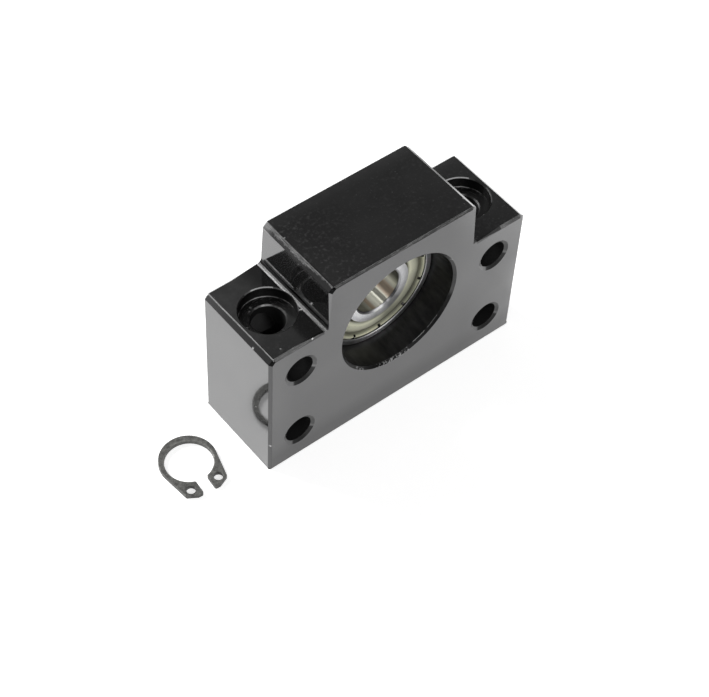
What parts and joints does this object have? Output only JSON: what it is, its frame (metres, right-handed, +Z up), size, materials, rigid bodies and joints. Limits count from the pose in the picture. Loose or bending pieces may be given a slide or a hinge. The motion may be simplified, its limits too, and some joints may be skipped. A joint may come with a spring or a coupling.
{
  "type": "ball screw end support",
  "caption": "Floating-side end support for a ball screw: blackened steel block with a shielded ball bearing in its bore, bolt holes downwards and through, and a loose retaining ring.",
  "frame": {"origin": "middle of the block's base face", "axes": "+X across the block to the right, +Y along the screw from the open front of the bore to the back, +Z up from the base"},
  "size_m": [0.0767, 0.02, 0.043],
  "materials": {
    "blackened_block": "ground steel, blackened, glossy",
    "bearing_steel": "ground and polished",
    "shield_sheet": "pressed sheet with an olive-gold tint",
    "cage_sheet": "pressed sheet",
    "polished_ball": "mirror polished",
    "phosphated_spring": "phosphated spring steel, satin"
  },
  "bodies": {
    "block": {"housing": "blackened_block", "retaining_ring": "phosphated_spring"},
    "bearing_outer": {"outer_ring": "bearing_steel", "front_shield": "shield_sheet", "rear_shield": "shield_sheet"},
    "bearing_inner": {"inner_ring": "bearing_steel"},
    "cage": {"cage_front_half": "cage_sheet", "cage_rear_half": "cage_sheet", "cage_rivets": "cage_sheet"},
    "ball_1": {"ball_1": "polished_ball"},
    "ball_2": {"ball_2": "polished_ball"},
    "ball_3": {"ball_3": "polished_ball"},
    "ball_4": {"ball_4": "polished_ball"},
    "ball_5": {"ball_5": "polished_ball"},
    "ball_6": {"ball_6": "polished_ball"},
    "ball_7": {"ball_7": "polished_ball"}
  },
  "joints": [
    {"name": "bearing_float", "type": "slide", "parent": "block", "child": "bearing_outer", "axis": [0, 1, 0], "range_m": [-0.001, 0.001]},
    {"name": "inner_ring_spin", "type": "hinge", "parent": "bearing_outer", "child": "bearing_inner", "pos_m": [0, 0.0003, 0.025], "axis": [0, 1, 0], "continuous": true},
    {"name": "cage_spin", "type": "hinge", "parent": "bearing_outer", "child": "cage", "pos_m": [0, 0.0003, 0.025], "axis": [0, 1, 0], "continuous": true},
    {"name": "ball_1_spin", "type": "hinge", "parent": "cage", "child": "ball_1", "pos_m": [0, 0.0003, 0.034], "axis": [0, 1, 0], "continuous": true},
    {"name": "ball_2_spin", "type": "hinge", "parent": "cage", "child": "ball_2", "pos_m": [-0.00704, 0.0003, 0.03061], "axis": [0, 1, 0], "continuous": true},
    {"name": "ball_3_spin", "type": "hinge", "parent": "cage", "child": "ball_3", "pos_m": [-0.00877, 0.0003, 0.023], "axis": [0, 1, 0], "continuous": true},
    {"name": "ball_4_spin", "type": "hinge", "parent": "cage", "child": "ball_4", "pos_m": [-0.00391, 0.0003, 0.01689], "axis": [0, 1, 0], "continuous": true},
    {"name": "ball_5_spin", "type": "hinge", "parent": "cage", "child": "ball_5", "pos_m": [0.00391, 0.0003, 0.01689], "axis": [0, 1, 0], "continuous": true},
    {"name": "ball_6_spin", "type": "hinge", "parent": "cage", "child": "ball_6", "pos_m": [0.00877, 0.0003, 0.023], "axis": [0, 1, 0], "continuous": true},
    {"name": "ball_7_spin", "type": "hinge", "parent": "cage", "child": "ball_7", "pos_m": [0.00704, 0.0003, 0.03061], "axis": [0, 1, 0], "continuous": true}
  ],
  "couplings": [
    {"joint": "cage_spin", "follows": "inner_ring_spin", "ratio": 0.36772},
    {"joint": "ball_1_spin", "follows": "inner_ring_spin", "ratio": -1.7577},
    {"joint": "ball_2_spin", "follows": "inner_ring_spin", "ratio": -1.7577},
    {"joint": "ball_3_spin", "follows": "inner_ring_spin", "ratio": -1.7577},
    {"joint": "ball_4_spin", "follows": "inner_ring_spin", "ratio": -1.7577},
    {"joint": "ball_5_spin", "follows": "inner_ring_spin", "ratio": -1.7577},
    {"joint": "ball_6_spin", "follows": "inner_ring_spin", "ratio": -1.7577},
    {"joint": "ball_7_spin", "follows": "inner_ring_spin", "ratio": -1.7577}
  ]
}
